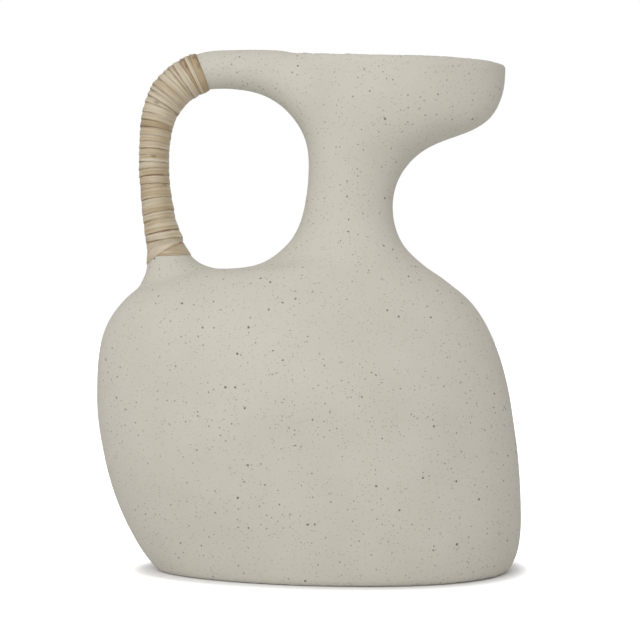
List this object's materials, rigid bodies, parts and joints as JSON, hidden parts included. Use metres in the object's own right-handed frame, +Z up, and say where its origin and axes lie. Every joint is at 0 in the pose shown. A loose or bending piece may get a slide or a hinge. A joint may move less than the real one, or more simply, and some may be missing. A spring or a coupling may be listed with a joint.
{
  "type": "jug vase",
  "caption": "Flat-bodied stoneware jug vase with a narrow neck, a wide lip that reaches to one side, and a loop handle bound with a strip of cane.",
  "frame": {"origin": "on the surface that the jug stands on, below the middle of its box", "axes": "+Z up; +X towards the lip and away from the handle; the front is seen along +Y"},
  "size_m": [0.2039, 0.0966, 0.2501],
  "materials": {
    "stoneware": "matte, speckled",
    "cane": "satin"
  },
  "bodies": {
    "root": {"vessel": "stoneware", "cane_wrap": "cane"}
  },
  "joints": []
}
